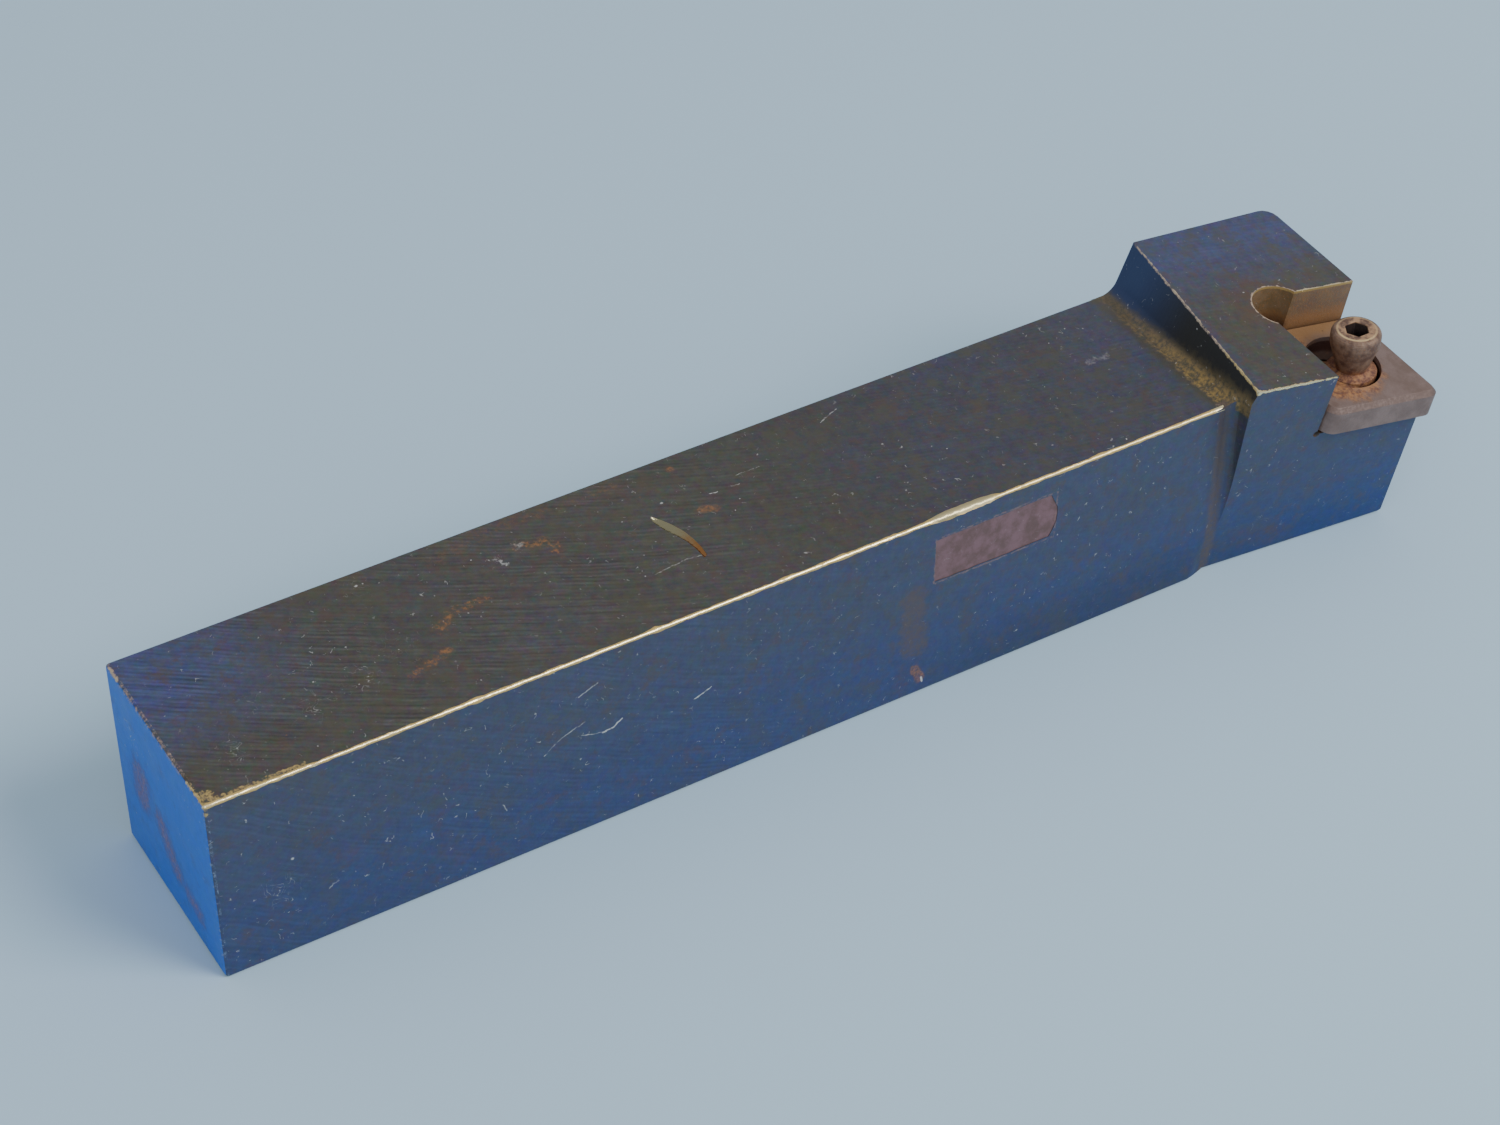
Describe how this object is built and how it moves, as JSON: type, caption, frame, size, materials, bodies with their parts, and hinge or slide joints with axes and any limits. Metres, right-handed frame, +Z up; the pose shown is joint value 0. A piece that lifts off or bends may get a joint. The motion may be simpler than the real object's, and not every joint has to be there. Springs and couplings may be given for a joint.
{
  "type": "external turning tool holder",
  "caption": "Left-hand external turning tool holder: square shank, tilted head with an open rhombic pocket, a shim seat and a hex-socket lock pin.",
  "frame": {"origin": "centre of the shank's base face, half-way along the nominal overall length", "axes": "+X across the shank towards the cutting side, +Y along the shank towards the nose, +Z up from the base"},
  "size_m": [0.0243, 0.1243, 0.0249],
  "materials": {
    "holder_steel": "black oxide, worn bright along the edges, with rust specks",
    "shim_steel": "brown-grey, stained, with rust round the hole",
    "pin_steel": "brown oxide with a bright worn rim"
  },
  "bodies": {
    "tool_body": {"holder": "holder_steel"},
    "seat": {"shim_seat": "shim_steel"},
    "pin": {"lock_pin": "pin_steel"}
  },
  "joints": [
    {"name": "lock_pin_turn", "type": "hinge", "parent": "tool_body", "child": "pin", "pos_m": [0.008, 0.056, 0.014], "axis": [0, 0, 1], "range_deg": [0, 450]},
    {"name": "seat_lift", "type": "slide", "parent": "tool_body", "child": "seat", "axis": [0.1125, 0.1125, 0.9873], "range_m": [0, 0.01]}
  ]
}
